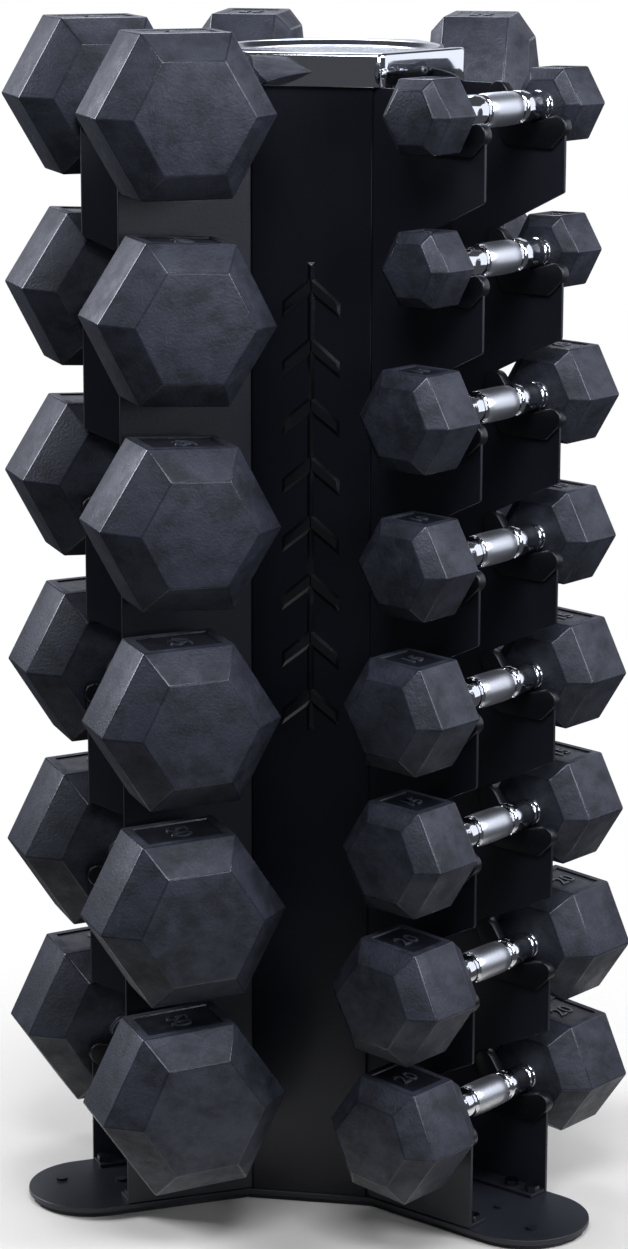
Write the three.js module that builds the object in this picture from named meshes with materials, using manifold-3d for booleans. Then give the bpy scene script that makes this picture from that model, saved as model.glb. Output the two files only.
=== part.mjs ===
// Three-sided dumbbell tower with its set of rubber hex dumbbells.
// Millimetres, +Z up, origin on the floor under the middle, front panel facing -Y.
import * as THREE from 'three';
import { mergeVertices } from 'three/addons/utils/BufferGeometryUtils.js';
import Module from 'manifold-3d';

const wasm = await Module();
wasm.setup();

// ---------- driving dimensions ----------
const COS60 = Math.cos(Math.PI / 3);
const SIN60 = Math.sin(Math.PI / 3);

const SOLE_THICK = 4;
const BASE_THICK = 5;
const BASE_BOTTOM = SOLE_THICK + 0.2;
const BASE_TOP = BASE_BOTTOM + BASE_THICK;
const FOOT_HALF_WIDTH = 58;
const FOOT_CENTRE = 226;

const SHEET = 3;
const PLATE_MID = 55;
const PLATE_OUT = PLATE_MID + SHEET / 2;
const PLATE_IN = PLATE_MID - SHEET / 2;
const PLATE_EDGE = 210;
const PLATE_BOTTOM = BASE_TOP + 0.2;
const PLATE_TOP = 995;

const PANEL_FACE = 97.5;
const PANEL_THICK = 2;
const PANEL_HALF = 52;
const FLANGE_FACE = PANEL_FACE - PANEL_THICK - 0.3;
const FLANGE_WIDTH = 25;

const HANDLE_RADIUS_OUT = 178;
const TOP_ROW = 978;
const RIGHT_PITCH = 124.1;
const HEAVY_PITCH = 169.6;

const NECK = 12.5;
const SADDLE_HALF_THICK = 5;

const TRAY_APOTHEM = 101.5;
const TRAY_CORNER = 13;
const TRAY_BOTTOM = PLATE_TOP + 0.3;
const TRAY_HEIGHT = 28;
const TRAY_WALL = 2;
const TRAY_SCREW_Z = TRAY_BOTTOM + 11;

// ---------- materials ----------
const paint = (color, roughness, metalness) => (
  new THREE.MeshStandardMaterial({ color, roughness, metalness })
);
const BLACK_COAT = paint(0x17181b, 0.5, 0.2);
const PANEL_COAT = paint(0x1b1d22, 0.42, 0.2);
const CHROME = paint(0xc9ccd1, 0.12, 1.0);
const RUBBER = paint(0x26272a, 0.75, 0.0);
const ZINC = paint(0x9a9da3, 0.35, 1.0);
const GLOSS = paint(0x0b0b0d, 0.15, 0.0);

// ---------- solid helpers ----------
function toManifold(geometry) {
  const plain = geometry.clone();
  plain.deleteAttribute('normal');
  plain.deleteAttribute('uv');
  const welded = mergeVertices(plain, 1e-4);
  return new wasm.Manifold(new wasm.Mesh({
    numProp: 3,
    vertProperties: new Float32Array(welded.attributes.position.array),
    triVerts: new Uint32Array(welded.index.array),
  }));
}

function toGeometry(solid) {
  const mesh = solid.getMesh();
  const geometry = new THREE.BufferGeometry();
  geometry.setAttribute('position', new THREE.BufferAttribute(mesh.vertProperties, 3));
  geometry.setIndex(new THREE.BufferAttribute(mesh.triVerts, 1));
  return geometry;
}

function join(geometries) {
  return geometries.map(toManifold).reduce((whole, one) => whole.add(one));
}

function cut(solid, geometries) {
  return geometries.map(toManifold).reduce((whole, one) => whole.subtract(one), solid);
}

function box(x0, x1, y0, y1, z0, z1) {
  const geometry = new THREE.BoxGeometry(x1 - x0, y1 - y0, z1 - z0);
  geometry.translate((x0 + x1) / 2, (y0 + y1) / 2, (z0 + z1) / 2);
  return geometry;
}

function rod(radius, z0, z1, sides = 10) {
  const geometry = new THREE.CylinderGeometry(radius, radius, z1 - z0, sides);
  geometry.rotateX(Math.PI / 2);
  geometry.translate(0, 0, (z0 + z1) / 2);
  return geometry;
}

// A closed outline that runs round a list of circles like a belt.
// side is +1 where the belt bends round the outside of the material, -1 where it bends in.
function belt(circles, step = Math.PI / 5) {
  const heading = circles.map((a, i) => {
    const b = circles[(i + 1) % circles.length];
    const dx = b.x - a.x;
    const dy = b.y - a.y;
    const offset = b.side * b.r - a.side * a.r;
    const length = Math.sqrt(dx * dx + dy * dy - offset * offset);
    return Math.atan2(dy, dx) - Math.atan2(offset, length);
  });
  const outline = [];
  circles.forEach((c, i) => {
    const arrive = heading[(i + circles.length - 1) % circles.length];
    const leave = heading[i];
    if (c.r === 0) {
      outline.push(new THREE.Vector2(c.x, c.y));
      return;
    }
    const turn = THREE.MathUtils.euclideanModulo(c.side * (leave - arrive), 2 * Math.PI);
    const count = Math.max(1, Math.ceil(turn / step));
    for (let k = 0; k <= count; k += 1) {
      const angle = arrive + (c.side * turn * k) / count;
      outline.push(new THREE.Vector2(
        c.x + c.side * c.r * Math.sin(angle),
        c.y - c.side * c.r * Math.cos(angle),
      ));
    }
  });
  return outline;
}

const bend = (x, y, r, side = 1) => ({ x, y, r, side });
const corner = (x, y) => ({ x, y, r: 0, side: 1 });

// Flat outline in plan, raised from z0 to z1.
function plan(outline, z0, z1) {
  const geometry = new THREE.ExtrudeGeometry(new THREE.Shape(outline), {
    depth: z1 - z0,
    bevelEnabled: false,
  });
  geometry.translate(0, 0, z0);
  return geometry;
}

// Outline drawn in a wing's upright plane, filled across the wing from n0 to n1.
function slab(outline, n0, n1) {
  const geometry = plan(outline, 0, n1 - n0);
  geometry.rotateX(Math.PI / 2);
  geometry.translate(0, n1, 0);
  return geometry;
}

// Skin over a row of rings that all have the same number of points.
function loft(rings) {
  const size = rings[0].length;
  const position = rings.flat().flatMap((p) => [p.x, p.y, p.z]);
  const index = [];
  for (let r = 0; r + 1 < rings.length; r += 1) {
    for (let k = 0; k < size; k += 1) {
      const a = r * size + k;
      const b = r * size + ((k + 1) % size);
      index.push(a, b, b + size, a, b + size, a + size);
    }
  }
  const last = (rings.length - 1) * size;
  for (let k = 1; k + 1 < size; k += 1) {
    index.push(0, k + 1, k);
    index.push(last, last + k, last + k + 1);
  }
  const geometry = new THREE.BufferGeometry();
  geometry.setAttribute('position', new THREE.Float32BufferAttribute(position, 3));
  geometry.setIndex(index);
  return geometry;
}

// Ring of points round the wing's cross direction, at distance n along it.
function ringAt(n, radius, sides, turn = 0) {
  const points = [];
  for (let k = 0; k < sides; k += 1) {
    const angle = turn - (2 * Math.PI * k) / sides;
    points.push(new THREE.Vector3(radius * Math.cos(angle), n, radius * Math.sin(angle)));
  }
  return points;
}

// ---------- assembly ----------
const rack = new THREE.Group();
rack.name = 'loaded_dumbbell_rack';

function place(name, shape, material, turn = 0, move = [0, 0, 0]) {
  const geometry = shape.isBufferGeometry ? toGeometry(toManifold(shape)) : toGeometry(shape);
  geometry.translate(...move);
  geometry.rotateZ(turn);
  const flat = geometry.toNonIndexed();
  flat.computeVertexNormals();
  const mesh = new THREE.Mesh(flat, material);
  mesh.name = name;
  rack.add(mesh);
  return mesh;
}

const degrees = (value) => (value * Math.PI) / 180;

// In a wing's own frame X runs out along the wing and Y runs across it.
const WINGS = {
  right: { turn: degrees(-30), pitch: RIGHT_PITCH, plates: ['rear', 'front'] },
  left: { turn: degrees(210), pitch: HEAVY_PITCH, plates: ['front', 'rear'] },
  rear: { turn: degrees(90), pitch: HEAVY_PITCH, plates: ['left', 'right'] },
};

const LOADS = {
  right: [5, 5, 10, 10, 15, 15, 20, 20],
  left: [40, 40, 45, 45, 50, 50],
  rear: [35, 35, 30, 30, 25, 25],
};

// How far each dumbbell has rolled in its saddles, in degrees, outer side up.
const ROLLS = {
  right: [2, 2, -1, -1, -2, -2, -4, -5],
  left: [0, 3, 2, -2, -3, -4],
  rear: [1, -2, 0, 2, -1, -3],
};

// Head sizes by weight: across flats, where the full hexagon starts and ends, then the outer
// face with its across flats, then the across flats of the inner face. Positions are measured
// from the middle of the handle.
const HEADS = {
  5: { flats: 61.5, start: 72, stop: 106, end: 117, tip: 44, inner: 42 },
  10: { flats: 82.5, start: 77, stop: 119.5, end: 132.5, tip: 58, inner: 58 },
  15: { flats: 93.5, start: 81, stop: 131, end: 146, tip: 63.5, inner: 65 },
  20: { flats: 101.5, start: 87, stop: 139.5, end: 157, tip: 67, inner: 71.5 },
  25: { flats: 111, start: 77, stop: 131, end: 149, tip: 74, inner: 84 },
  30: { flats: 120, start: 77, stop: 133, end: 152, tip: 80, inner: 92 },
  35: { flats: 128, start: 77, stop: 135, end: 155, tip: 85, inner: 100 },
  40: { flats: 134.5, start: 88, stop: 147, end: 170, tip: 91, inner: 92 },
  45: { flats: 137.5, start: 90, stop: 152, end: 178, tip: 89, inner: 91.5 },
  50: { flats: 143.5, start: 90, stop: 154, end: 180, tip: 95.5, inner: 96 },
};
const HEAD_INNER_FACE = 64;

// ---------- saddle shape, measured from the middle of a resting handle ----------
const OUTER_HORN = bend(25.5, -16.2, 9.5);
const CUP = bend(0, 3.7, 17, -1);
const INNER_HORN = bend(-37, 9.2, 10);
const LOWER_INNER = bend(-24, -26, 9);
const LOWER_OUTER = bend(17, -27, 8);
const SADDLE = [OUTER_HORN, CUP, INNER_HORN, LOWER_INNER, LOWER_OUTER];

const shifted = (circle, dx, dy) => ({ ...circle, x: circle.x + dx, y: circle.y + dy });

function saddleOutline(rowHeight) {
  return belt(SADDLE.map((c) => shifted(c, HANDLE_RADIUS_OUT, rowHeight)), degrees(46));
}

// ---------- side plate ----------
function plateOutline(rows) {
  const inner = 91.4;
  const lip = bend(PLATE_EDGE - HANDLE_RADIUS_OUT - 4, -17, 4);
  const hollow = bend(0, 3.7, 21, -1);
  const throat = bend(-40, 12, 5, -1);
  const tooth = bend(PLATE_EDGE - HANDLE_RADIUS_OUT - 2.5, 54.5, 2.5);
  const circles = [corner(inner, PLATE_BOTTOM), corner(PLATE_EDGE, PLATE_BOTTOM)];
  [...rows].reverse().forEach((height, k) => {
    const open = k + 1 === rows.length;
    const parts = open ? [lip, hollow] : [lip, hollow, throat, tooth];
    circles.push(...parts.map((c) => shifted(c, HANDLE_RADIUS_OUT, height)));
  });
  circles.push(bend(HANDLE_RADIUS_OUT - 34, PLATE_TOP - 3, 3));
  circles.push(corner(inner, PLATE_TOP));
  return belt(circles, degrees(50));
}

const BOLT_OUT = [180, 203];
const BOLT_ACROSS = 43.5;

function sidePlate(rows, side) {
  const across = (n) => side * n;
  const span = (a, b) => [Math.min(across(a), across(b)), Math.max(across(a), across(b))];
  const sheet = slab(plateOutline(rows), ...span(PLATE_IN, PLATE_OUT));

  const frontU = 2 * (FLANGE_FACE - SIN60 * PLATE_OUT);
  const backU = 2 * (FLANGE_FACE - SHEET - SIN60 * PLATE_IN);
  const tip = new THREE.Vector2(frontU - FLANGE_WIDTH * SIN60, PLATE_OUT + FLANGE_WIDTH * COS60);
  const outline = [
    new THREE.Vector2(frontU, PLATE_OUT),
    tip,
    new THREE.Vector2(tip.x - SHEET * COS60, tip.y - SHEET * SIN60),
    new THREE.Vector2(backU, PLATE_IN),
  ].map((p) => new THREE.Vector2(p.x, across(p.y)));
  const panelFlange = plan(side > 0 ? outline : outline.reverse(), PLATE_BOTTOM, PLATE_TOP);

  const [n0, n1] = span(PLATE_IN - 20, PLATE_IN + 0.5);
  const footFlange = box(96, PLATE_EDGE, n0, n1, PLATE_BOTTOM, PLATE_BOTTOM + SHEET);

  const saddles = rows.map((height) => slab(
    saddleOutline(height),
    ...span(PLATE_MID - SADDLE_HALF_THICK, PLATE_MID + SADDLE_HALF_THICK),
  ));
  const holes = BOLT_OUT.map((u) => {
    const hole = rod(3.5, PLATE_BOTTOM - 1, PLATE_BOTTOM + SHEET + 1, 8);
    hole.translate(u, across(BOLT_ACROSS), 0);
    return hole;
  });
  return cut(join([sheet, panelFlange, footFlange, ...saddles]), holes);
}

// ---------- dumbbell ----------
function dumbbell(weight, roll) {
  const size = HEADS[weight];
  const corners = (n, flats) => ringAt(n, flats / 2 / SIN60, 6, roll);
  const head = (side) => {
    const rings = [
      corners(side * HEAD_INNER_FACE, size.inner),
      corners(side * size.start, size.flats),
      corners(side * size.stop, size.flats),
      corners(side * size.end, size.tip),
    ];
    return loft(side > 0 ? rings : rings.reverse());
  };
  const half = [[68, NECK], [48, NECK], [40, 14.2]];
  const profile = [
    ...half.map(([n, r]) => [-n, r]),
    [0, 14.5],
    ...[...half].reverse(),
  ];
  const handle = loft(profile.map(([n, r]) => ringAt(n, r, 10)));
  return join([handle, head(-1), head(1)]);
}

// ---------- base, feet and their fixings ----------
function baseOutline(inset) {
  const half = FOOT_HALF_WIDTH - inset;
  const hubU = 2 * (PANEL_FACE + 1.5 - inset - SIN60 * half);
  const circles = [];
  [WINGS.right, WINGS.rear, WINGS.left].forEach(({ turn }) => {
    const at = (u, n) => [
      u * Math.cos(turn) - n * Math.sin(turn),
      u * Math.sin(turn) + n * Math.cos(turn),
    ];
    circles.push(corner(...at(hubU, -half)));
    circles.push(bend(...at(FOOT_CENTRE, 0), half));
    circles.push(corner(...at(hubU, half)));
  });
  return belt(circles, degrees(16));
}

const SOLE_SCREWS = [[200, 0], [250, -20]];

function wingHole([u, n], turn, radius, z0, z1) {
  const hole = rod(radius, z0, z1, 8);
  hole.translate(u, n, 0);
  hole.rotateZ(turn);
  return hole;
}

const baseHoles = Object.values(WINGS).flatMap(({ turn }) => [
  ...SOLE_SCREWS.map((spot) => wingHole(spot, turn, 3.2, BASE_BOTTOM - 1, BASE_TOP + 1)),
  ...BOLT_OUT.flatMap((u) => [-1, 1].map((side) => (
    wingHole([u, side * BOLT_ACROSS], turn, 3.5, BASE_BOTTOM - 1, BASE_TOP + 1)
  ))),
]);
place('base_plate', cut(join([plan(baseOutline(0), BASE_BOTTOM, BASE_TOP)]), baseHoles), BLACK_COAT);

const soleHoles = Object.values(WINGS).flatMap(({ turn }) => (
  SOLE_SCREWS.map((spot) => wingHole(spot, turn, 3.2, 1.6, SOLE_THICK + 1))
));
place('rubber_sole', cut(join([plan(baseOutline(3), 0, SOLE_THICK)]), soleHoles), RUBBER);

Object.entries(WINGS).forEach(([wing, { turn, plates }]) => {
  SOLE_SCREWS.forEach((spot, k) => {
    const head = rod(5, BASE_TOP + 0.2, BASE_TOP + 2);
    const shank = rod(2.8, 2, BASE_TOP + 1);
    place(`${wing}_sole_screw_${k + 1}`, join([head, shank]), ZINC, turn, [...spot, 0]);
  });
  plates.forEach((plate, k) => {
    BOLT_OUT.forEach((u, j) => {
      const head = rod(6.4, PLATE_BOTTOM + SHEET + 0.2, PLATE_BOTTOM + SHEET + 5.2, 6);
      const shank = rod(3, BASE_BOTTOM + 0.3, PLATE_BOTTOM + SHEET + 2, 8);
      const across = (k === 0 ? 1 : -1) * BOLT_ACROSS;
      place(`${wing}_wing_${plate}_foot_bolt_${j + 1}`, join([head, shank]), ZINC, turn,
        [u, across, 0]);
    });
  });
});

// ---------- side plates and dumbbells ----------
Object.entries(WINGS).forEach(([wing, { turn, pitch, plates }]) => {
  const rows = LOADS[wing].map((_, k) => TOP_ROW - k * pitch);
  plates.forEach((plate, k) => {
    place(`${wing}_wing_${plate}_plate`, sidePlate(rows, k === 0 ? 1 : -1), BLACK_COAT, turn);
  });
  LOADS[wing].forEach((weight, k) => {
    const level = k % 2 === 0 ? 'upper' : 'lower';
    place(`dumbbell_${weight}_lb_${level}`, dumbbell(weight, degrees(ROLLS[wing][k])), RUBBER,
      turn, [HANDLE_RADIUS_OUT, 0, rows[k]]);
  });
});

// ---------- column panels between the wings ----------
const panelOutline = belt([
  bend(-PANEL_HALF + 1.6, -PANEL_FACE + 1.6, 1.6),
  bend(PANEL_HALF - 1.6, -PANEL_FACE + 1.6, 1.6),
  corner(PANEL_HALF, -PANEL_FACE + PANEL_THICK),
  corner(-PANEL_HALF, -PANEL_FACE + PANEL_THICK),
], degrees(30));
[['front_panel', 0], ['right_rear_panel', 120], ['left_rear_panel', 240]].forEach(([name, angle]) => {
  place(name, plan(panelOutline, PLATE_BOTTOM, PLATE_TOP), PANEL_COAT, degrees(angle));
});

// Raised gloss motif on the front panel: chevrons on a spine.
const EMBLEM_LOW = 440;
const EMBLEM_STEP = 51;
const EMBLEM_COUNT = 8;
const EMBLEM_ARM = 25;
const EMBLEM_THICK = 1.6;
const emblemBack = -PANEL_FACE - 0.1;
const emblemParts = [box(
  -3, 3, emblemBack - EMBLEM_THICK, emblemBack,
  EMBLEM_LOW, EMBLEM_LOW + EMBLEM_STEP * EMBLEM_COUNT,
)];
for (let k = 0; k < EMBLEM_COUNT; k += 1) {
  const z = EMBLEM_LOW + EMBLEM_STEP * (k + 0.5);
  const chevron = [
    [0, z - 2], [EMBLEM_ARM, z - 22], [EMBLEM_ARM, z - 8],
    [0, z + 14], [-EMBLEM_ARM, z - 8], [-EMBLEM_ARM, z - 22],
  ].map(([x, y]) => new THREE.Vector2(x, y));
  emblemParts.push(slab(chevron, emblemBack - EMBLEM_THICK, emblemBack));
}
place('front_panel_emblem', join(emblemParts), GLOSS);

// ---------- hub top plate with three upright tabs, and the tray screwed to them ----------
function hexOutline(apothem, radius) {
  const circles = [];
  for (let k = 0; k < 6; k += 1) {
    const angle = degrees(60 * k);
    const reach = (apothem - radius) / SIN60;
    circles.push(bend(reach * Math.cos(angle), reach * Math.sin(angle), radius));
  }
  return belt(circles, degrees(30));
}

const wingAngles = Object.values(WINGS).map(({ turn }) => turn);
const aimed = (geometry, turn) => geometry.clone().rotateZ(turn);
const tabInner = TRAY_APOTHEM - TRAY_WALL - 0.3 - 2.5;
const tab = box(tabInner, tabInner + 2.5, -18, 18, PLATE_TOP + 1, TRAY_SCREW_Z + 4);
const tabHole = rod(2.8, -6, 6).rotateY(Math.PI / 2).translate(tabInner + 1, 0, TRAY_SCREW_Z);
place('hub_top_plate', cut(
  join([
    plan(hexOutline(tabInner + 2.5, 11), PLATE_TOP + 0.3, PLATE_TOP + 2.8),
    ...wingAngles.map((turn) => aimed(tab, turn)),
  ]),
  [
    rod(22, PLATE_TOP - 1, PLATE_TOP + 5, 24),
    ...wingAngles.map((turn) => aimed(tabHole, turn)),
  ],
), BLACK_COAT);

const trayTop = TRAY_BOTTOM + TRAY_HEIGHT;
const DISH_DEPTH = 6;
const trayHole = rod(2.9, -6, 6).rotateY(Math.PI / 2).translate(TRAY_APOTHEM, 0, TRAY_SCREW_Z);
const dish = loft([
  ringAt(0, 86, 30),
  ringAt(DISH_DEPTH + 1, 92, 30),
]).rotateX(Math.PI / 2).translate(0, 0, trayTop - DISH_DEPTH);
place('top_tray', cut(
  join([
    plan(hexOutline(TRAY_APOTHEM, TRAY_CORNER), TRAY_BOTTOM, trayTop - 3),
    plan(hexOutline(TRAY_APOTHEM - 1, TRAY_CORNER - 1), trayTop - 3.5, trayTop - 1),
    plan(hexOutline(TRAY_APOTHEM - 3, TRAY_CORNER - 3), trayTop - 1.5, trayTop),
  ]),
  [
    plan(hexOutline(TRAY_APOTHEM - TRAY_WALL, TRAY_CORNER - TRAY_WALL), TRAY_BOTTOM - 1, trayTop - DISH_DEPTH - 2.5),
    dish,
    ...wingAngles.map((turn) => aimed(trayHole, turn)),
  ],
), CHROME);

Object.entries(WINGS).forEach(([wing, { turn }]) => {
  const head = rod(4.6, TRAY_APOTHEM + 0.2, TRAY_APOTHEM + 2.2);
  const shank = rod(2.5, tabInner - 1.5, TRAY_APOTHEM + 1);
  const screw = join([head.rotateY(Math.PI / 2), shank.rotateY(Math.PI / 2)]);
  place(`${wing}_tray_screw`, screw, ZINC, turn, [0, 0, TRAY_SCREW_Z]);
});

export default rack;
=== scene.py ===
# Looks for the loaded three-sided dumbbell rack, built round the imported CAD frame.
# Lengths in the shape code are millimetres; meshes are written in metres.
import math

import bmesh
import bpy
from mathutils import Matrix, Vector


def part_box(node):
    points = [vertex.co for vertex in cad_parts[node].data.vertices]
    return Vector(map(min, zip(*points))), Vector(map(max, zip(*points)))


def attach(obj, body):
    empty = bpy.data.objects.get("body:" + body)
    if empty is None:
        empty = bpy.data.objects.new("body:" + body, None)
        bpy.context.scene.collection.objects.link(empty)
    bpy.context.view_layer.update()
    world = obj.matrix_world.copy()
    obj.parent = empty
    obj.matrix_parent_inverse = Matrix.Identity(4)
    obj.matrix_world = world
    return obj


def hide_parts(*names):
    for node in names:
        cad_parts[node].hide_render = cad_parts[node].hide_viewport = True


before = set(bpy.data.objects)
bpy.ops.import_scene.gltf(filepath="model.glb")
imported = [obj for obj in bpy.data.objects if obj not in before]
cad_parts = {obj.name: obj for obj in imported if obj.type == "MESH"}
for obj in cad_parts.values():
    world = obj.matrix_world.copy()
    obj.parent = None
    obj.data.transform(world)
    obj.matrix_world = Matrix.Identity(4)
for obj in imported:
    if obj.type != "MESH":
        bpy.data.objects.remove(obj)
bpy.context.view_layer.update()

MM = 0.001
SIN60 = math.sin(math.pi / 3)
COS60 = math.cos(math.pi / 3)
IDENTITY = Matrix.Identity(4)

# ---------- dimensions shared with the CAD model ----------
# In a wing's own frame u runs outward, n runs across the wing and z runs up.
PLATE_MID = 55
SHEET = 3
PLATE_OUT = PLATE_MID + SHEET / 2
PLATE_IN = PLATE_MID - SHEET / 2
PLATE_EDGE = 210
PLATE_INNER_EDGE = 91.4
PANEL_FACE = 97.5
PANEL_THICK = 2
PANEL_HALF = 52
FLANGE_WIDTH = 25
FLANGE_GAP = 0.3
FOOT_FLANGE_WIDTH = 20
FOOT_FLANGE_START = 96
FOOT_FLANGE_LAP = 0.5
HANDLE_OUT = 178
TOP_ROW = 978
FOOT_HALF = 58
FOOT_CENTRE = 226
BASE_MARGIN = 1.5
HEAD_INNER = 64
TRAY_APOTHEM = 101.5
TRAY_CORNER = 13
TRAY_WALL = 2
DISH_DEPTH = 6

base_low, base_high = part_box("base_plate")
panel_low, panel_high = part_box("front_panel")
PLATE_BOTTOM = panel_low.z / MM
PLATE_TOP = panel_high.z / MM

# Each wing: turn about Z, row pitch, its two plates from +Y to -Y of its own frame, its load
# from the top row down, and how far each dumbbell has rolled in its saddles, outer side up.
WINGS = {
    "right": (-30, 124.1, ("rear", "front"), (5, 5, 10, 10, 15, 15, 20, 20),
              (2, 2, -1, -1, -2, -2, -4, -5)),
    "left": (210, 169.6, ("front", "rear"), (40, 40, 45, 45, 50, 50), (0, 3, 2, -2, -3, -4)),
    "rear": (90, 169.6, ("left", "right"), (35, 35, 30, 30, 25, 25), (1, -2, 0, 2, -1, -3)),
}

# Head sizes by weight: across flats, start and stop of the full hexagon, the end face and its
# across flats, then the across flats of the inner face.
HEADS = {
    5: (61.5, 72, 106, 117, 44, 42),
    10: (82.5, 77, 119.5, 132.5, 58, 58),
    15: (93.5, 81, 131, 146, 63.5, 65),
    20: (101.5, 87, 139.5, 157, 67, 71.5),
    25: (111, 77, 131, 149, 74, 84),
    30: (120, 77, 133, 152, 80, 92),
    35: (128, 77, 135, 155, 85, 100),
    40: (134.5, 88, 147, 170, 91, 92),
    45: (137.5, 90, 152, 178, 89, 91.5),
    50: (143.5, 90, 154, 180, 95.5, 96),
}


# ---------- camera ----------
CAMERA_PLACE = (0.51935, -2.96147, 1.21113)
CAMERA_YAW = 0.17835
CAMERA_DOWN = 0.22862
CAMERA_ROLL = 0.0026
CAMERA_LENS = 99.53
CAMERA_SENSOR = 36
CAMERA_REACH = 50


def add_camera():
    data = bpy.data.cameras.new("photo_camera")
    data.sensor_fit = "VERTICAL"
    data.sensor_height = CAMERA_SENSOR
    data.lens = CAMERA_LENS
    data.clip_end = CAMERA_REACH
    camera = bpy.data.objects.new("photo_camera", data)
    bpy.context.scene.collection.objects.link(camera)
    spot = Matrix.Translation(Vector(CAMERA_PLACE))
    yaw = Matrix.Rotation(CAMERA_YAW, 4, "Z")
    tilt = Matrix.Rotation(math.pi / 2 - CAMERA_DOWN, 4, "X")
    roll = Matrix.Rotation(CAMERA_ROLL, 4, "Z")
    camera.matrix_world = spot @ yaw @ tilt @ roll
    bpy.context.scene.camera = camera


add_camera()


# ---------- materials ----------
def new_material(name, color, roughness, metallic=0.0, specular=0.5, coat=0.0):
    material = bpy.data.materials.new(name)
    material.use_nodes = True
    tree = material.node_tree
    shader = tree.nodes["Principled BSDF"]
    shader.inputs["Base Color"].default_value = (*color, 1)
    shader.inputs["Roughness"].default_value = roughness
    shader.inputs["Metallic"].default_value = metallic
    shader.inputs["Specular IOR Level"].default_value = specular
    shader.inputs["Coat Weight"].default_value = coat
    shader.inputs["Coat Roughness"].default_value = 0.08
    return material, tree, shader


def surface_point(tree):
    """Coordinates on the object, shifted by a number of its own so that copies differ."""
    place = tree.nodes.new("ShaderNodeTexCoord")
    info = tree.nodes.new("ShaderNodeObjectInfo")
    shift = tree.nodes.new("ShaderNodeVectorMath")
    shift.operation = "ADD"
    tree.links.new(place.outputs["Object"], shift.inputs[0])
    tree.links.new(info.outputs["Random"], shift.inputs[1])
    return shift.outputs[0]


def noise(tree, point, scale, detail=3.0, rough=0.55, stretch=None):
    if stretch:
        mapping = tree.nodes.new("ShaderNodeMapping")
        mapping.inputs["Scale"].default_value = stretch
        tree.links.new(point, mapping.inputs["Vector"])
        point = mapping.outputs[0]
    texture = tree.nodes.new("ShaderNodeTexNoise")
    texture.inputs["Scale"].default_value = scale
    texture.inputs["Detail"].default_value = detail
    texture.inputs["Roughness"].default_value = rough
    tree.links.new(point, texture.inputs["Vector"])
    return texture.outputs["Fac"]


def as_color(value):
    """A colour as four numbers, from three of them or from one grey level."""
    if isinstance(value, tuple):
        return (*value, 1)
    return (value, value, value, 1)


def ramp(tree, value, low, high, start=0.35, end=0.65):
    """A grey or coloured ramp from low to high as value runs from start to end."""
    stage = tree.nodes.new("ShaderNodeValToRGB")
    stage.color_ramp.elements[0].position = start
    stage.color_ramp.elements[1].position = end
    stage.color_ramp.elements[0].color = as_color(low)
    stage.color_ramp.elements[1].color = as_color(high)
    tree.links.new(value, stage.inputs[0])
    return stage.outputs[0]


def mix(tree, factor, a, b):
    blend = tree.nodes.new("ShaderNodeMix")
    blend.data_type = "RGBA"
    tree.links.new(factor, blend.inputs[0])
    tree.links.new(a, blend.inputs[6])
    tree.links.new(b, blend.inputs[7])
    return blend.outputs[2]


def bump(tree, shader, heights):
    """heights is a list of (value, strength, distance in metres), stacked."""
    normal = None
    for value, strength, distance in heights:
        stage = tree.nodes.new("ShaderNodeBump")
        stage.inputs["Strength"].default_value = strength
        stage.inputs["Distance"].default_value = distance
        tree.links.new(value, stage.inputs["Height"])
        if normal is not None:
            tree.links.new(normal, stage.inputs["Normal"])
        normal = stage.outputs[0]
    tree.links.new(normal, shader.inputs["Normal"])


def rubber(name, dark, light, rough_low, rough_high, grain, wear=0.5):
    material, tree, shader = new_material(name, dark, rough_high, specular=0.4)
    point = surface_point(tree)
    wipe = noise(tree, point, 30, detail=8, rough=0.68, stretch=(1.0, 1.0, 1.4))
    speck = noise(tree, point, 600, detail=2)
    scuff = noise(tree, point, 60, detail=9, rough=0.75)
    dusty = tuple((1 + wear) * c for c in light)
    tone = mix(tree, ramp(tree, scuff, 0.0, 1.0, 0.5, 0.8),
               ramp(tree, wipe, dark, light, 0.38, 0.59),
               ramp(tree, speck, light, dusty, 0.4, 0.7))
    tree.links.new(tone, shader.inputs["Base Color"])
    shine = mix(tree, ramp(tree, scuff, 0.0, 1.0, 0.5, 0.66),
                ramp(tree, wipe, rough_high, rough_low, 0.38, 0.66),
                ramp(tree, speck, rough_high, rough_high + 0.12))
    tree.links.new(shine, shader.inputs["Roughness"])
    bump(tree, shader, [
        (noise(tree, point, 420, detail=3), grain, 0.001),
        (noise(tree, point, 70, detail=4), 0.1, 0.0015),
    ])
    return material


def powder_coat(name, dark, light, roughness, specular=0.5):
    material, tree, shader = new_material(name, dark, roughness, specular=specular)
    point = surface_point(tree)
    patch = noise(tree, point, 6, detail=5, stretch=(1, 1, 0.35))
    tree.links.new(ramp(tree, patch, dark, light), shader.inputs["Base Color"])
    tree.links.new(ramp(tree, patch, roughness - 0.05, roughness + 0.06),
                   shader.inputs["Roughness"])
    bump(tree, shader, [(noise(tree, point, 420, detail=2), 0.16, 0.0006)])
    return material


def plated(name, color, roughness, spread=0.35):
    """Plated metal with a faint haze: its roughness varies by the spread either way."""
    material, tree, shader = new_material(name, color, roughness, metallic=1.0)
    haze = noise(tree, surface_point(tree), 40, detail=4)
    tree.links.new(ramp(tree, haze, roughness * (1 - spread), roughness * (1 + spread)),
                   shader.inputs["Roughness"])
    return material


def math_node(tree, operation, a, b=None):
    stage = tree.nodes.new("ShaderNodeMath")
    stage.operation = operation
    for socket, value in zip(stage.inputs, (a, b)):
        if value is None:
            continue
        if isinstance(value, (int, float)):
            socket.default_value = value
        else:
            tree.links.new(value, socket)
    return stage.outputs[0]


KNURL_TEETH = 48
KNURL_STEP = 0.002


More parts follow.
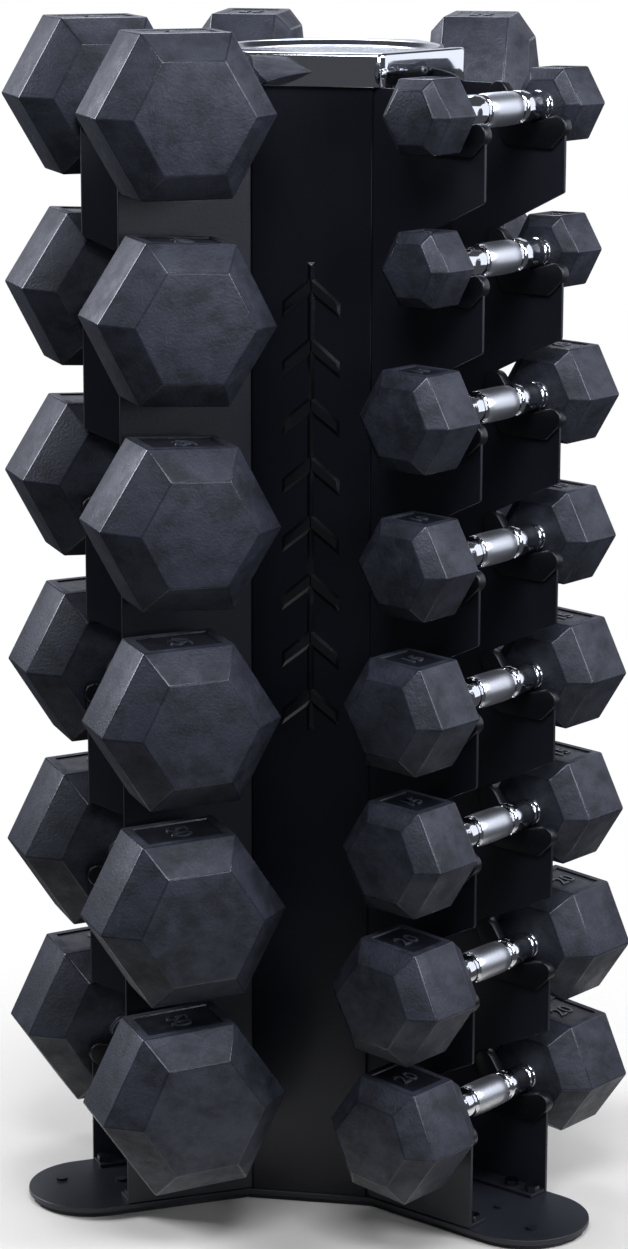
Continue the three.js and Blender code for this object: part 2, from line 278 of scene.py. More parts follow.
def knurled(name):
    """Diamond knurling round the handle's own Y axis, its step along the handle in metres."""
    material, tree, shader = new_material(name, (0.82, 0.83, 0.85), 0.38, metallic=1.0)
    place = tree.nodes.new("ShaderNodeTexCoord")
    split = tree.nodes.new("ShaderNodeSeparateXYZ")
    tree.links.new(place.outputs["Object"], split.inputs[0])
    angle = math_node(tree, "ARCTAN2", split.outputs[2], split.outputs[0])
    around = math_node(tree, "MULTIPLY", angle, KNURL_TEETH / 2)
    along = math_node(tree, "MULTIPLY", split.outputs[1], math.pi / KNURL_STEP)
    one = math_node(tree, "SINE", math_node(tree, "ADD", around, along))
    two = math_node(tree, "SINE", math_node(tree, "SUBTRACT", around, along))
    height = math_node(tree, "MAXIMUM", math_node(tree, "ABSOLUTE", one),
                       math_node(tree, "ABSOLUTE", two))
    # The grooves are coloured darker than the crests: painted shade in the grooves.
    tree.links.new(ramp(tree, height, (0.88, 0.89, 0.91), (0.5, 0.51, 0.53), 0.6, 1.0),
                   shader.inputs["Base Color"])
    bump(tree, shader, [(height, -0.8, 0.0004)])
    return material


RUBBER = rubber("rubber_face", dark=(0.0085, 0.0094, 0.013), light=(0.028, 0.0308, 0.042),
                rough_low=0.43, rough_high=0.62, grain=0.5)
# Rounded edges: a lighter tone, partly worn edges and partly a painted highlight along every
# edge.
RUBBER_EDGE_WEAR_AND_PAINTED_HIGHLIGHT = rubber("rubber_edge_wear_and_painted_highlight", dark=(0.013, 0.0143, 0.02), light=(0.028, 0.0308, 0.041),
                     rough_low=0.17, rough_high=0.3, grain=0.15)
RUBBER_LABEL = rubber("rubber_label", dark=(0.0045, 0.005, 0.007), light=(0.009, 0.01, 0.014),
                      rough_low=0.34, rough_high=0.46, grain=0.2)
FIGURES = rubber("rubber_figures", dark=(0.03, 0.033, 0.042), light=(0.05, 0.055, 0.068),
                 rough_low=0.2, rough_high=0.28, grain=0.05)
SOLE = rubber("sole_rubber_look", dark=(0.012, 0.0122, 0.014), light=(0.025, 0.0255, 0.028),
              rough_low=0.7, rough_high=0.85, grain=0.4)
COAT = powder_coat("black_powder_coat_look", dark=(0.008, 0.0088, 0.0125),
                   light=(0.0125, 0.0137, 0.0188), roughness=0.42)
# The column panels: a darker copy of the plates' powder coat, which is painted shade.
PANEL = powder_coat("panel_powder_coat_painted_shade", dark=(0.004, 0.0045, 0.0067),
                    light=(0.0065, 0.0072, 0.0103), roughness=0.32, specular=0.32)
SADDLE_PLASTIC = powder_coat("saddle_plastic", dark=(0.0045, 0.005, 0.006),
                             light=(0.007, 0.0075, 0.009), roughness=0.34)
CHROME = plated("mirror_chrome", (0.86, 0.87, 0.89), roughness=0.07)
SATIN_CHROME = plated("satin_chrome", (0.5, 0.51, 0.53), roughness=0.2, spread=0.08)
DARK_STEEL = plated("blackened_steel", (0.10, 0.102, 0.11), roughness=0.3)
KNURL = knurled("knurled_chrome")


def gloss_black(name):
    material, tree, shader = new_material(name, (0.0035, 0.0038, 0.0045), 0.2, coat=0.7)
    waver = noise(tree, surface_point(tree), 40)
    tree.links.new(ramp(tree, waver, 0.16, 0.26), shader.inputs["Roughness"])
    return material


GLOSS = gloss_black("gloss_black_emblem")


# ---------- outlines ----------
def bend(x, y, radius, side=1):
    """A circle the outline wraps: side +1 round its outside, -1 where it bends in."""
    return (x, y, radius, side)


def corner(x, y):
    return (x, y, 0, 1)


def belt(circles, step=8):
    """The points of a closed outline that runs round circles like a belt.

    The step is the most that an arc turns between two points, in degrees.
    """
    headings = []
    for i, (ax, ay, ar, side_a) in enumerate(circles):
        bx, by, br, side_b = circles[(i + 1) % len(circles)]
        offset = side_b * br - side_a * ar
        length = math.sqrt((bx - ax) ** 2 + (by - ay) ** 2 - offset ** 2)
        headings.append(math.atan2(by - ay, bx - ax) - math.atan2(offset, length))
    points = []
    for i, (x, y, radius, side) in enumerate(circles):
        if radius == 0:
            points.append((x, y))
            continue
        turn = (side * (headings[i] - headings[i - 1])) % (2 * math.pi)
        steps = max(1, math.ceil(math.degrees(turn) / step))
        for k in range(steps + 1):
            angle = headings[i - 1] + side * turn * k / steps
            points.append((x + side * radius * math.sin(angle),
                           y - side * radius * math.cos(angle)))
    return points


def moved(circle, dx, dy, grow=0.0):
    """The circle shifted; grow moves the outline itself outward."""
    x, y, radius, side = circle
    return (x + dx, y + dy, radius + side * grow, side)


# ---------- mesh building ----------
class Build:
    """Gathers verts and faces in millimetres, then makes one Blender object."""

    def __init__(self):
        self.verts = []
        self.faces = []
        self.slots = []

    def add(self, verts, faces, slot=0):
        first = len(self.verts)
        self.verts.extend(verts)
        self.faces.extend([first + i for i in face] for face in faces)
        self.slots.extend([slot] * len(faces))

    def rings(self, rings, slot=0, caps=True, slots=None):
        size = len(rings[0])
        faces = []
        for r in range(len(rings) - 1):
            for k in range(size):
                after = (k + 1) % size
                faces.append((r * size + k, r * size + after,
                              (r + 1) * size + after, (r + 1) * size + k))
        verts = [p for ring in rings for p in ring]
        first = len(self.faces)
        self.add(verts, faces, slot)
        if slots:
            for r, one in enumerate(slots):
                for k in range(size):
                    self.slots[first + r * size + k] = one
        if caps:
            last = len(verts) - size
            base = len(self.verts) - len(verts)
            self.faces.append([base + k for k in range(size)][::-1])
            self.faces.append([base + last + k for k in range(size)])
            self.slots.extend([slot, slot])

    def upright(self, outline, n0, n1, slot=0):
        """Outline in a wing's upright plane, filled across the wing from n0 to n1."""
        self.rings([[(u, n, z) for u, z in outline] for n in (n0, n1)], slot)

    def plan(self, outline, z0, z1, slot=0):
        self.rings([[(x, y, z) for x, y in outline] for z in (z0, z1)], slot)

    def mesh(self, name, materials, smooth=35):
        mesh = bpy.data.meshes.new(name)
        mesh.from_pydata([(x * MM, y * MM, z * MM) for x, y, z in self.verts], [], self.faces)
        for material in materials:
            mesh.materials.append(material)
        mesh.polygons.foreach_set("material_index", self.slots)
        shape = bmesh.new()
        shape.from_mesh(mesh)
        bmesh.ops.remove_doubles(shape, verts=shape.verts, dist=1e-6)
        bmesh.ops.recalc_face_normals(shape, faces=shape.faces)
        shape.to_mesh(mesh)
        shape.free()
        mesh.shade_smooth()
        mesh.set_sharp_from_angle(angle=math.radians(smooth))
        return mesh


BEVEL_ANGLE = math.radians(32)


def place(name, mesh, matrix, body, slot, nodes=(), bevel=0.0, segments=2):
    piece = bpy.data.objects.new(name, mesh)
    bpy.context.scene.collection.objects.link(piece)
    piece.matrix_world = matrix
    if bevel:
        edge = piece.modifiers.new("rounded_edges", "BEVEL")
        edge.width = bevel * MM
        edge.segments = segments
        edge.limit_method = "ANGLE"
        edge.angle_limit = BEVEL_ANGLE
        edge.harden_normals = True
        edge.use_clamp_overlap = True
    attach(piece, body)
    if nodes:
        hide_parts(*nodes)
    return piece


def settled(mesh, name, matrix):
    """A copy of a mesh with its place in the rack written into its points."""
    copy = mesh.copy()
    copy.name = name
    copy.transform(matrix)
    return copy


def wing_matrix(turn, x=0.0, y=0.0, z=0.0):
    return Matrix.Rotation(math.radians(turn), 4, "Z") @ Matrix.Translation(
        Vector((x, y, z)) * MM)


def round_ring(n, radius, sides):
    return [(radius * math.cos(-2 * math.pi * k / sides), n,
             radius * math.sin(-2 * math.pi * k / sides)) for k in range(sides)]


def turned(profile, sides=48):
    """Rings round the local Y axis from (position, radius) pairs."""
    return [round_ring(n, radius, sides) for n, radius in profile]


# ---------- dumbbells ----------
EDGE_ROUND = 1.1
RIDGE = 2.4
LABEL_DEPTH = 1.3
LABEL_SLOPE = 0.8
LABEL_MARGIN = 0.1
FIGURE_SIZE = 0.42
FIGURE_HALF_DEPTH = 0.55
FIGURE_ROUND = 0.15
FIGURE_RAISE = 0.35


def hex_ring(n, flats, peak=0.0):
    """Six corners, flats up; peak pushes the two side corners outward along n."""
    points = round_ring(n, flats / 2 / SIN60, 6)
    return [(x, y + (peak if k in (0, 3) else 0.0), z) for k, (x, y, z) in enumerate(points)]


def head_mesh(weight):
    """One rubber head: rounded edges, a ridge over its end face, a sunk label on top."""
    flats, start, stop, end, tip, inner = HEADS[weight]
    rings = [
        hex_ring(HEAD_INNER, inner),
        hex_ring(start, flats),
        hex_ring(stop, flats),
        hex_ring(end - RIDGE, tip, RIDGE),
    ]
    verts = [Vector(p) * MM for ring in rings for p in ring]
    shape = bmesh.new()
    corners = [shape.verts.new(p) for p in verts]
    for r in range(3):
        for k in range(6):
            after = (k + 1) % 6
            shape.faces.new([corners[6 * r + k], corners[6 * r + after],
                             corners[6 * r + 6 + after], corners[6 * r + 6 + k]])
    tip_ring = corners[18:]
    shape.faces.new(corners[:6][::-1])
    shape.faces.new([tip_ring[k] for k in (0, 1, 2, 3)])
    shape.faces.new([tip_ring[k] for k in (3, 4, 5, 0)])
    bmesh.ops.recalc_face_normals(shape, faces=shape.faces)
    ridge = [e for e in shape.edges if {tip_ring[0], tip_ring[3]} == set(e.verts)]
    hard = [e for e in shape.edges if e not in ridge]
    # The rounded edge faces take the lighter edge material: worn edges plus painted highlight.
    bmesh.ops.bevel(shape, geom=hard, offset=EDGE_ROUND * MM, offset_type="OFFSET", segments=3,
                    profile=0.5, affect="EDGES", clamp_overlap=True, material=1)
    top = max((f for f in shape.faces if f.normal.z > 0.99), key=lambda f: f.calc_area())
    margin = LABEL_MARGIN * (stop - start) * MM
    bmesh.ops.inset_individual(shape, faces=[top], thickness=margin, use_even_offset=True)
    ring = bmesh.ops.inset_individual(shape, faces=[top], thickness=LABEL_SLOPE * MM,
                                      depth=-LABEL_DEPTH * MM)
    # The label's sloped rim takes the same lighter edge tone: wear plus painted highlight.
    for face in ring["faces"]:
        face.material_index = 1
    top.material_index = 2
    mesh = bpy.data.meshes.new(f"head_{weight}_lb")
    for material in (RUBBER, RUBBER_EDGE_WEAR_AND_PAINTED_HIGHLIGHT, RUBBER_LABEL):
        mesh.materials.append(material)
    shape.to_mesh(mesh)
    shape.free()
    mesh.shade_smooth()
    mesh.set_sharp_from_angle(angle=math.radians(50))
    return mesh


def figure_mesh(weight):
    """Raised plain numerals for the label on the head's top face."""
    curve = bpy.data.curves.new(f"figures_{weight}", "FONT")
    curve.body = str(weight)
    _, start, stop, _, _, _ = HEADS[weight]
    curve.size = FIGURE_SIZE * (stop - start) * MM
    curve.extrude = FIGURE_HALF_DEPTH * MM
    curve.bevel_depth = FIGURE_ROUND * MM
    curve.resolution_u = 3
    curve.align_x = "CENTER"
    curve.align_y = "CENTER"
    holder = bpy.data.objects.new("figures", curve)
    bpy.context.scene.collection.objects.link(holder)
    graph = bpy.context.evaluated_depsgraph_get()
    mesh = bpy.data.meshes.new_from_object(holder.evaluated_get(graph))
    bpy.data.objects.remove(holder)
    mesh.name = f"figures_{weight}_lb"
    mesh.materials.clear()
    mesh.materials.append(FIGURES)
    return mesh


KNURL_END = 21

# Half of the handle, from its middle out: position along it and radius.
HANDLE_HALF = (
    (0, 14.5), (12, 14.4), (KNURL_END, 14.0), (21.6, 13.6), (22.2, 12.8), (25.4, 12.8),
    (26.0, 13.7), (26.8, 14.2), (31, 14.25), (35.6, 14.2), (37.0, 14.0), (39.5, 13.5),
    (43, 13.0), (48, 12.6), (55, 12.5), (55.7, 12.1), (56.3, 12.5), (57.2, 12.9),
    (58.4, 12.9), (59.2, 12.4), (59.7, 11.6), (60.6, 11.5), (62.2, 11.5), (63, 12.2),
    (68, 12.4),
)


def handle_mesh():
    profile = [(-n, r) for n, r in reversed(HANDLE_HALF[1:])] + list(HANDLE_HALF)
    slots = []
    for (n0, _), (n1, _) in zip(profile, profile[1:]):
        slots.append(1 if max(abs(n0), abs(n1)) <= KNURL_END else 0)
    build = Build()
    build.rings(turned(profile), slots=slots)
    return build.mesh("handle", [CHROME, KNURL], smooth=40)


HANDLE = handle_mesh()


def add_dumbbell(turn, weight, level, height, roll):
    node = f"dumbbell_{weight}_lb_{level}"
    body = f"{node}_body"
    seat = wing_matrix(turn, HANDLE_OUT, 0, height)
    seat = seat @ Matrix.Rotation(math.radians(-roll), 4, "Y")
    flats, start, stop, _, _, _ = HEADS[weight]
    place(f"{node}_handle", HANDLE, seat, body, "chrome", [node])
    for side, label in ((1, "a"), (-1, "b")):
        spin = Matrix.Rotation(0 if side > 0 else math.pi, 4, "Z")
        name = f"{node}_head_{label}"
        head = settled(HEAD_MESHES[weight], name, seat @ spin)
        place(name, head, IDENTITY, body, "rubber_coated_iron", [node])
        middle = side * (start + stop) / 2
        lift = flats / 2 - LABEL_DEPTH + FIGURE_RAISE
        spot = seat @ Matrix.Translation(Vector((0, middle, lift)) * MM)
        spot = spot @ Matrix.Rotation(math.pi / 2, 4, "Z")
        name = f"{node}_figures_{label}"
        marks = settled(FIGURE_MESHES[weight], name, spot)
        place(name, marks, IDENTITY, body, "rubber_coated_iron")


# ---------- saddles and side plates ----------
# Circles and corners in a wing's upright plane, from the middle of a seated handle.
OUTER_HORN = bend(25.5, -16.2, 9.5)
CUP = bend(0, 3.7, 17, -1)
INNER_HORN = bend(-37, 9.2, 10)
LOWER_INNER = bend(-24, -26, 9)
LOWER_OUTER = bend(17, -27, 8)
SADDLE = (OUTER_HORN, CUP, INNER_HORN, LOWER_INNER, LOWER_OUTER)
SADDLE_HALF = 5
SADDLE_ROUND = 1.3
SADDLE_SCREW_OUT = 13
SADDLE_SCREW_DEPTH = 3.9
SADDLE_SCREW_DROP = 26

# The rounded edge of a saddle: depth and inset of each ring, as shares of SADDLE_ROUND.
SADDLE_EDGE = ((-1, 1.0), (-0.9, 0.62), (-0.62, 0.22), (0, 0.0))

PLATE_LIP = bend(PLATE_EDGE - HANDLE_OUT - 4, -17, 4)
PLATE_HOLLOW = bend(0, 3.7, 21, -1)
PLATE_THROAT = bend(-40, 12, 5, -1)
PLATE_TOOTH = bend(PLATE_EDGE - HANDLE_OUT - 2.5, 54.5, 2.5)

# The round corner at the top of a plate, from the wing's own origin.
PLATE_TOP_CORNER = bend(HANDLE_OUT - 34, PLATE_TOP - 3, 3)


def saddle_mesh():
    """The moulded insert: its whole outline with a fully rounded edge on both faces."""
    build = Build()
    rings = []
    for n, inset in SADDLE_EDGE:
        depth = -SADDLE_HALF + SADDLE_ROUND * (1 + n)
        outline = belt([moved(c, 0, 0, -SADDLE_ROUND * inset) for c in SADDLE])
        rings.append([(u, depth, z) for u, z in outline])
    mirrored = [[(u, -n, z) for u, n, z in ring] for ring in reversed(rings)]
    build.rings(rings + mirrored)
    return build.mesh("saddle", [SADDLE_PLASTIC], smooth=40)


SCREW_SUNK = 2.0
SCREW_SIDES = 24
DOME_STEPS = 6
DOME_REACH = 0.999
SOCKET_EDGE = 0.98
SOCKET_FLOOR = 0.25


def screw_mesh(name, radius, height, socket):
    """Domed button head with a round socket, standing along local Y."""
    profile = [(-SCREW_SUNK, radius * 0.5), (-SCREW_SUNK, radius)]
    for k in range(DOME_STEPS + 1):
        angle = math.pi / 2 * k / DOME_STEPS
        profile.append((height * math.sin(angle) * DOME_REACH,
                        socket + (radius - socket) * math.cos(angle)))
    profile += [(height * SOCKET_EDGE, socket), (height * SOCKET_FLOOR, socket * 0.98)]
    build = Build()
    build.rings(turned(profile, SCREW_SIDES))
    return build.mesh(name, [DARK_STEEL], smooth=35)


def plate_outline(rows):
    """A side plate's outline, with a notch in its outer edge for each row."""
    circles = [corner(PLATE_INNER_EDGE, PLATE_BOTTOM), corner(PLATE_EDGE, PLATE_BOTTOM)]
    for k, height in enumerate(reversed(rows)):
        notch = [PLATE_LIP, PLATE_HOLLOW]
        if k + 1 < len(rows):
            notch += [PLATE_THROAT, PLATE_TOOTH]
        circles += [moved(c, HANDLE_OUT, height) for c in notch]
    circles += [PLATE_TOP_CORNER, corner(PLATE_INNER_EDGE, PLATE_TOP)]
    return belt(circles, 9)


def plate_mesh(name, rows, side):
    """One folded sheet: notched web, flange behind the column panel, foot flange."""
    build = Build()
    low, high = sorted((side * PLATE_IN, side * PLATE_OUT))
    build.upright(plate_outline(rows), low, high)
    face = PANEL_FACE - PANEL_THICK - FLANGE_GAP
    front_u = 2 * (face - SIN60 * PLATE_OUT)
    back_u = 2 * (face - SHEET - SIN60 * PLATE_IN)
    tip = (front_u - FLANGE_WIDTH * SIN60, PLATE_OUT + FLANGE_WIDTH * COS60)
    flange = [(front_u, PLATE_OUT), tip, (tip[0] - SHEET * COS60, tip[1] - SHEET * SIN60),
              (back_u, PLATE_IN)]
    build.plan([(u, side * n) for u, n in flange], PLATE_BOTTOM, PLATE_TOP)
    foot_in, foot_out = sorted((side * (PLATE_IN - FOOT_FLANGE_WIDTH),
                                side * (PLATE_IN + FOOT_FLANGE_LAP)))
    foot_end = PLATE_EDGE - FOOT_FLANGE_LAP
    foot = [(FOOT_FLANGE_START, foot_in), (foot_end, foot_in), (foot_end, foot_out),
            (FOOT_FLANGE_START, foot_out)]
    build.plan(foot, PLATE_BOTTOM, PLATE_BOTTOM + SHEET)
    return build.mesh(name, [COAT])


HEAD_MESHES = {weight: head_mesh(weight) for weight in HEADS}
FIGURE_MESHES = {weight: figure_mesh(weight) for weight in HEADS}
SADDLE_MESH = saddle_mesh()
SADDLE_SCREW = screw_mesh("saddle_screw", radius=2.4, height=1.2, socket=1.0)

for wing, (turn, pitch, plates, load, rolls) in WINGS.items():
    rows = [TOP_ROW - pitch * k for k in range(len(load))]
    for side, plate in zip((1, -1), plates):
        node = f"{wing}_wing_{plate}_plate"
        place(f"{node}_sheet", plate_mesh(node, rows, side), wing_matrix(turn), "rack",
              "black_powder_coat", [node], bevel=0.5)
        for k, height in enumerate(rows):
            seat = wing_matrix(turn, HANDLE_OUT, side * PLATE_MID, height)
            saddle = f"{node}_saddle_{k + 1}"
            place(saddle, SADDLE_MESH, seat, "rack", "black_powder_coat", [node])
            for face, label in ((1, "a"), (-1, "b")):
                spin = Matrix.Rotation(0 if face > 0 else math.pi, 4, "Z")
                hole = Vector((SADDLE_SCREW_OUT, face * SADDLE_SCREW_DEPTH, -SADDLE_SCREW_DROP))
                spot = seat @ Matrix.Translation(hole * MM) @ spin
                place(f"{saddle}_screw_{label}", SADDLE_SCREW, spot, "rack", "zinc_plated_steel")
    for k, weight in enumerate(load):
        level = "upper" if k % 2 == 0 else "lower"
        add_dumbbell(turn, weight, level, rows[k], rolls[k])


# ---------- base ----------
def base_outline():
    """Three feet with round ends that meet in the column's corners."""
    hub_u = 2 * (PANEL_FACE + BASE_MARGIN - SIN60 * FOOT_HALF)
    circles = []
    for turn in (-30, 90, 210):
        c = math.cos(math.radians(turn))
        s = math.sin(math.radians(turn))
        for u, n, radius in ((hub_u, -FOOT_HALF, 0), (FOOT_CENTRE, 0, FOOT_HALF),
                             (hub_u, FOOT_HALF, 0)):
            circles.append((u * c - n * s, u * s + n * c, radius, 1))
    return belt(circles, 4)


base = Build()
base.plan(base_outline(), base_low.z / MM, base_high.z / MM)
place("base_plate_sheet", base.mesh("base_plate_sheet", [COAT]), IDENTITY, "rack",
      "black_powder_coat", ["base_plate"], bevel=0.9, segments=3)


# ---------- column panels ----------
PANEL_ROUND = 1.8


def panel_mesh():
    outline = belt([
        bend(-PANEL_HALF + PANEL_ROUND, -PANEL_FACE + PANEL_ROUND, PANEL_ROUND),
        bend(PANEL_HALF - PANEL_ROUND, -PANEL_FACE + PANEL_ROUND, PANEL_ROUND),
        corner(PANEL_HALF, -PANEL_FACE + PANEL_THICK),
        corner(-PANEL_HALF, -PANEL_FACE + PANEL_THICK),
    ], 9)
    build = Build()
    build.plan(outline, PLATE_BOTTOM, PLATE_TOP)
    return build.mesh("column_panel", [PANEL], smooth=35)


PANEL_MESH = panel_mesh()
# The panels take the darker copy of the coat: painted shade.
for name, turn in (("front_panel", 0), ("right_rear_panel", 120), ("left_rear_panel", 240)):
    place(f"{name}_sheet", PANEL_MESH, wing_matrix(turn), "rack", "black_powder_coat", [name])


# ---------- emblem: chevrons on a spine ----------
EMBLEM_COUNT = 8
EMBLEM_CROWN = 1.2
EMBLEM_SLOPE = 2.6
SPINE_HALF = 3

# Heights on a chevron from its middle: its point, the top and bottom of an arm's end, its notch.
CHEVRON_POINT = 14
CHEVRON_ARM_TOP = -8
CHEVRON_ARM_BOTTOM = -22
CHEVRON_NOTCH = -2


def emblem_mesh():
    """Raised bars whose front faces rise by a sloped crown."""
    low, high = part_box("front_panel_emblem")
    front = low.y / MM + EMBLEM_CROWN
    back = high.y / MM
    bottom = low.z / MM
    top = high.z / MM
    arm = high.x / MM
    step = (top - bottom) / EMBLEM_COUNT
    spine = [(-SPINE_HALF, bottom), (SPINE_HALF, bottom), (SPINE_HALF, top), (-SPINE_HALF, top)]
    build = Build()
    build.upright(spine, front, back)
    for k in range(EMBLEM_COUNT):
        z = bottom + step * (k + 0.5)
        build.upright([
            (0, z + CHEVRON_NOTCH),
            (arm, z + CHEVRON_ARM_BOTTOM),
            (arm, z + CHEVRON_ARM_TOP),
            (0, z + CHEVRON_POINT),
            (-arm, z + CHEVRON_ARM_TOP),
            (-arm, z + CHEVRON_ARM_BOTTOM),
        ], front, back)
    mesh = build.mesh("front_panel_emblem", [GLOSS])
    shape = bmesh.new()
    shape.from_mesh(mesh)
    faces = [face for face in shape.faces if face.normal.y < -0.99]
    bmesh.ops.inset_individual(shape, faces=faces, thickness=EMBLEM_SLOPE * MM,
                               depth=EMBLEM_CROWN * MM, use_even_offset=True)
    shape.to_mesh(mesh)
    shape.free()
    mesh.set_sharp_from_angle(angle=math.radians(20))
    return mesh


place("front_panel_emblem_raised", emblem_mesh(), IDENTITY, "rack", "gloss_black",
      ["front_panel_emblem"])


# ---------- tray ----------
TRAY_SAMPLES = 240
TRAY_FILLET = 3.6
TRAY_FILLET_STEPS = 6
TRAY_EDGE_CUT = 0.5
TRAY_EDGE_RISE = 0.6
TRAY_SKIN = 2.5

# The dish from its rim in: radius of each ring and its depth below the tray's top.
DISH_RINGS = ((93.6, 0.0), (91.8, 0.4), (90.4, 1.4), (88.2, 4.0), (86.4, 5.4), (83.5, 6.0))


def hex_radius(apothem, radius, samples):
    """Distance from the middle to a rounded hexagon's edge, sampled round the circle."""
    reach = (apothem - radius) / SIN60
    limit = reach * math.sin(math.pi / 6)
    result = []
    for k in range(samples):
        angle = 2 * math.pi * k / samples
        within = (angle + math.pi / 6) % (math.pi / 3) - math.pi / 6
        flat = apothem / math.cos(math.pi / 6 - abs(within))
        side = reach * math.sin(abs(within))
        on_arc = reach * math.cos(within) + math.sqrt(max(radius ** 2 - side ** 2, 0.0))
        at_flat = abs(math.sin(math.pi / 6 - abs(within))) * flat
        result.append(on_arc if at_flat > limit else flat)
    return result


def flat_ring(radii, z):
    """A level ring of points, one for each radius, evenly round the Z axis."""
    turn = 2 * math.pi / len(radii)
    return [(r * math.cos(turn * k), r * math.sin(turn * k), z) for k, r in enumerate(radii)]


def tray_mesh():
    """The tray's shell from the underside of its top, down, out and over the rim to the dish."""
    low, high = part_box("top_tray")
    bottom = low.z / MM
    top = high.z / MM
    edge = hex_radius(TRAY_APOTHEM, TRAY_CORNER, TRAY_SAMPLES)
    inside = [r - TRAY_WALL for r in edge]
    rings = [
        flat_ring(inside, top - DISH_DEPTH - TRAY_SKIN),
        flat_ring(inside, bottom),
        flat_ring([r - TRAY_EDGE_CUT for r in edge], bottom),
        flat_ring(edge, bottom + TRAY_EDGE_RISE),
    ]
    for k in range(TRAY_FILLET_STEPS + 1):
        angle = math.pi / 2 * k / TRAY_FILLET_STEPS
        inset = TRAY_FILLET * (1 - math.cos(angle))
        drop = TRAY_FILLET * (1 - math.sin(angle))
        rings.append(flat_ring([r - inset for r in edge], top - drop))
    satin_from = len(rings) + 1
    for radius, drop in DISH_RINGS:
        rings.append(flat_ring([radius] * TRAY_SAMPLES, top - drop))
    build = Build()
    slots = [0 if r < satin_from else 1 for r in range(len(rings) - 1)]
    build.rings(rings, slots=slots)
    build.slots[-1] = 1
    return build.mesh("top_tray", [CHROME, SATIN_CHROME], smooth=40)


place("top_tray_shell", tray_mesh(), IDENTITY, "rack", "chrome", ["top_tray"])

TRAY_SCREW = screw_mesh("tray_screw", radius=3.8, height=1.1, socket=1.8)
TRAY_SCREW_GAP = 0.1
for wing, (turn, _, _, _, _) in WINGS.items():
    low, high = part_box(f"{wing}_tray_screw")
    height = (low.z + high.z) / 2 / MM
    spot = wing_matrix(turn, TRAY_APOTHEM + TRAY_SCREW_GAP, 0, height)
    spot = spot @ Matrix.Rotation(-math.pi / 2, 4, "Z")
    place(f"{wing}_tray_screw_head", TRAY_SCREW, spot, "rack", "zinc_plated_steel",
          [f"{wing}_tray_screw"])

# ---------- carried-over CAD pieces ----------
CARRIED_LOOKS = (("rubber_sole", SOLE), ("hub_top_plate", COAT), ("sole_screw", COAT),
                 ("foot_bolt", DARK_STEEL))

for name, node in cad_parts.items():
    for part_of_name, look in CARRIED_LOOKS:
        if part_of_name in name:
            node.data.materials.clear()
            node.data.materials.append(look)


# ---------- stage and light ----------
FLOOR_HALF = 1.7
FLOOR_DROP = 0.0005
FLOOR_COLOR = (0.8, 0.76, 0.67)
FLOOR_LOW = (0.79, 0.75, 0.66)
FLOOR_HIGH = (0.81, 0.77, 0.68)
FADE_START = 0.28
FADE_END = 0.66


def add_floor():
    """A pale floor under the rack that fades out into the white background."""
    mesh = bpy.data.meshes.new("floor")
    signs = ((-1, -1), (1, -1), (1, 1), (-1, 1))
    mesh.from_pydata([(x * FLOOR_HALF, y * FLOOR_HALF, 0) for x, y in signs], [], [(0, 1, 2, 3)])
    material, tree, shader = new_material("pale_floor", FLOOR_COLOR, 0.8, specular=0.1)
    point = tree.nodes.new("ShaderNodeTexCoord").outputs["Object"]
    tree.links.new(ramp(tree, noise(tree, point, 1.5), FLOOR_LOW, FLOOR_HIGH),
                   shader.inputs["Base Color"])
    reach = tree.nodes.new("ShaderNodeVectorMath")
    reach.operation = "LENGTH"
    tree.links.new(point, reach.inputs[0])
    clear = tree.nodes.new("ShaderNodeBsdfTransparent")
    blend = tree.nodes.new("ShaderNodeMixShader")
    tree.links.new(ramp(tree, reach.outputs["Value"], 0.0, 1.0, FADE_START, FADE_END),
                   blend.inputs[0])
    tree.links.new(shader.outputs[0], blend.inputs[1])
    tree.links.new(clear.outputs[0], blend.inputs[2])
    tree.links.new(blend.outputs[0], tree.nodes["Material Output"].inputs["Surface"])
    mesh.materials.append(material)
    floor = bpy.data.objects.new("floor", mesh)
    bpy.context.scene.collection.objects.link(floor)
    floor.location.z = -FLOOR_DROP


LIGHT_TINT = (0.84, 0.88, 1.0)
AMBIENT = 0.07

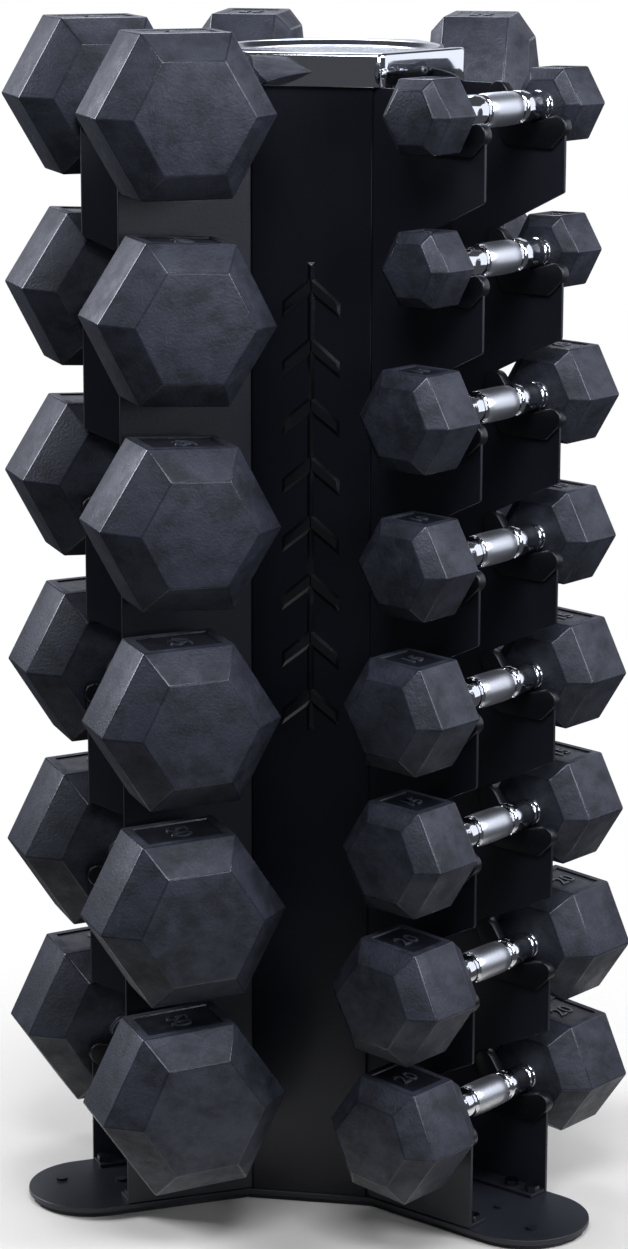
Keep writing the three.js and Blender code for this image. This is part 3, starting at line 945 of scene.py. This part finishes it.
# Soft lights in metres and watts: name, place, what it points at, width, height, power.
LIGHTS = (
    ("key_softbox", (0.3, -1.25, 2.15), (0, 0, 0.75), 1.2, 0.7, 32),
    ("left_softbox", (-2.5, 0.5, 1.9), (0, 0, 0.7), 1.2, 1.4, 85),
    ("right_softbox", (2.4, -0.5, 2.0), (0, 0, 0.6), 1.0, 1.4, 46),
    ("right_card", (2.3, 1.25, 1.3), (0, 0, 0.6), 2.4, 2.2, 18),
    ("front_fill", (2.1, -2.0, 1.35), (0, 0, 0.8), 1.0, 1.0, 18),
    ("rear_card", (-0.4, 3.0, 1.7), (0, 0, 0.7), 3.0, 2.4, 16),
    ("rear_softbox", (-0.4, 1.8, 3.0), (0, 0, 0.6), 1.2, 1.2, 36),
)


def add_light(name, location, target, width, height, power):
    data = bpy.data.lights.new(name, "AREA")
    data.color = LIGHT_TINT
    data.shape = "RECTANGLE"
    data.size = width
    data.size_y = height
    data.energy = power
    light = bpy.data.objects.new(name, data)
    bpy.context.scene.collection.objects.link(light)
    light.location = location
    aim = Vector(target) - Vector(location)
    light.rotation_euler = aim.to_track_quat("-Z", "Y").to_euler()


def add_world():
    """Faint bluish light all round; the camera itself sees plain white."""
    world = bpy.data.worlds.new("studio")
    bpy.context.scene.world = world
    world.use_nodes = True
    tree = world.node_tree
    ground = tree.nodes["Background"]
    ground.inputs["Color"].default_value = (*LIGHT_TINT, 1)
    ground.inputs["Strength"].default_value = AMBIENT
    seen = tree.nodes.new("ShaderNodeBackground")
    seen.inputs["Color"].default_value = (1, 1, 1, 1)
    seen.inputs["Strength"].default_value = 1.0
    path = tree.nodes.new("ShaderNodeLightPath")
    blend = tree.nodes.new("ShaderNodeMixShader")
    tree.links.new(path.outputs["Is Camera Ray"], blend.inputs[0])
    tree.links.new(ground.outputs[0], blend.inputs[1])
    tree.links.new(seen.outputs[0], blend.inputs[2])
    tree.links.new(blend.outputs[0], tree.nodes["World Output"].inputs["Surface"])


add_floor()
add_world()
for light in LIGHTS:
    add_light(*light)
bpy.context.scene.view_settings.view_transform = "Standard"
